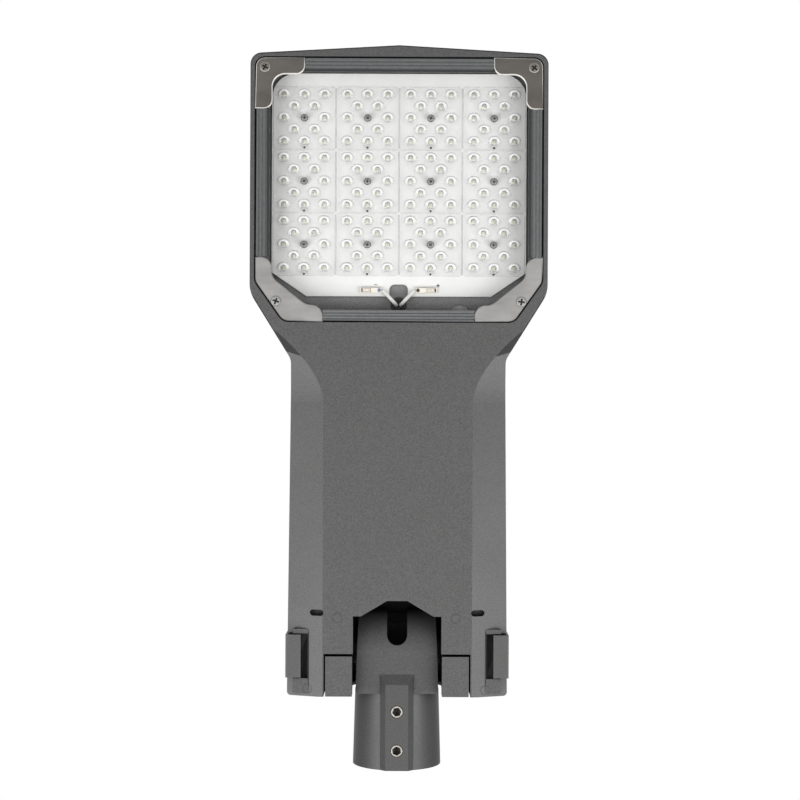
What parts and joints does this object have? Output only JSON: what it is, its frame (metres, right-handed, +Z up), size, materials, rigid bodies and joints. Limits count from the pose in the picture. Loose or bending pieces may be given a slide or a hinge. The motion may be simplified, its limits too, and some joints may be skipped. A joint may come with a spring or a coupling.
{
  "type": "led street light head",
  "caption": "Street light head with a clamped lens window, finned casting, hinged driver cover with side latches and a tilting pole spigot.",
  "frame": {"origin": "centre of the spigot bore's mouth, on the bore axis", "axes": "+Y from the pole towards the nose, +Z up away from the light, light shines along -Z, +X to the right when seen from the pole"},
  "size_m": [0.2344, 0.572, 0.0925],
  "materials": {
    "powder_coated_casting": "fine-textured dark grey powder coat",
    "satin_steel_plate": "satin stainless sheet with bright edges",
    "anodised_rail": "grooved grey anodised extrusion",
    "clear_glass": "clear toughened flat glass",
    "black_rubber": "matt black rubber",
    "white_board": "white solder mask on an aluminium core",
    "lens_plastic": "clear moulded lens plastic",
    "led_phosphor": "pale yellow chip",
    "plated_screw": "bright plated steel",
    "galvanised_sheet": "galvanised steel sheet",
    "driver_case": "plain satin case",
    "terminal_plastic": "pale grey moulding",
    "white_insulation": "white wire insulation",
    "cream_connector": "cream connector body"
  },
  "bodies": {
    "spigot": {"spigot_adaptor": "powder_coated_casting", "spigot_set_screws": "plated_screw", "pivot_bolt_right": "plated_screw", "pivot_bolt_left": "plated_screw"},
    "head": {"main_housing": "powder_coated_casting", "pivot_ear_right": "powder_coated_casting", "pivot_ear_left": "powder_coated_casting", "cover_hinge_pins": "plated_screw", "ear_bolts": "plated_screw", "pivot_washer_right": "plated_screw", "pivot_washer_left": "plated_screw", "glass_pane": "clear_glass", "glass_gasket": "black_rubber", "frame_rail_right": "anodised_rail", "frame_rail_left": "anodised_rail", "frame_rail_front": "anodised_rail", "frame_rail_rear": "anodised_rail", "corner_plate_front_right": "satin_steel_plate", "corner_plate_front_left": "satin_steel_plate", "corner_plate_rear_right": "satin_steel_plate", "corner_plate_rear_left": "satin_steel_plate", "corner_screws": "plated_screw", "led_board": "white_board", "led_chips": "led_phosphor", "lens_screws": "plated_screw", "board_connectors": "cream_connector", "lead_grommet": "black_rubber", "led_lead_plus": "white_insulation", "led_lead_minus": "white_insulation", "gear_tray": "galvanised_sheet", "tray_screws": "plated_screw", "led_driver": "driver_case", "driver_screws": "plated_screw", "terminal_block": "terminal_plastic", "driver_input_wires": "white_insulation", "lens_plate_01": "lens_plastic", "lens_plate_02": "lens_plastic", "lens_plate_03": "lens_plastic", "lens_plate_04": "lens_plastic", "lens_plate_05": "lens_plastic", "lens_plate_06": "lens_plastic", "lens_plate_07": "lens_plastic", "lens_plate_08": "lens_plastic", "lens_plate_09": "lens_plastic", "lens_plate_10": "lens_plastic", "lens_plate_11": "lens_plastic", "lens_plate_12": "lens_plastic"},
    "cover": {"top_cover": "powder_coated_casting", "latch_pin_right": "plated_screw", "latch_pin_left": "plated_screw"},
    "right_latch": {"latch_right": "powder_coated_casting"},
    "left_latch": {"latch_left": "powder_coated_casting"}
  },
  "joints": [
    {"name": "head_tilt", "type": "hinge", "parent": "spigot", "child": "head", "pos_m": [0, 0.0932, 0], "axis": [1, 0, 0], "range_deg": [-90, 10]},
    {"name": "cover_hinge", "type": "hinge", "parent": "head", "child": "cover", "pos_m": [0, 0.3902, 0.0035], "axis": [1, 0, 0], "range_deg": [-75, 0]},
    {"name": "right_latch_swing", "type": "hinge", "parent": "cover", "child": "right_latch", "pos_m": [0.0844, 0.0913, -0.006], "axis": [0, -1, 0], "range_deg": [0, 60]},
    {"name": "left_latch_swing", "type": "hinge", "parent": "cover", "child": "left_latch", "pos_m": [-0.0844, 0.0913, -0.006], "axis": [0, 1, 0], "range_deg": [0, 60]}
  ]
}
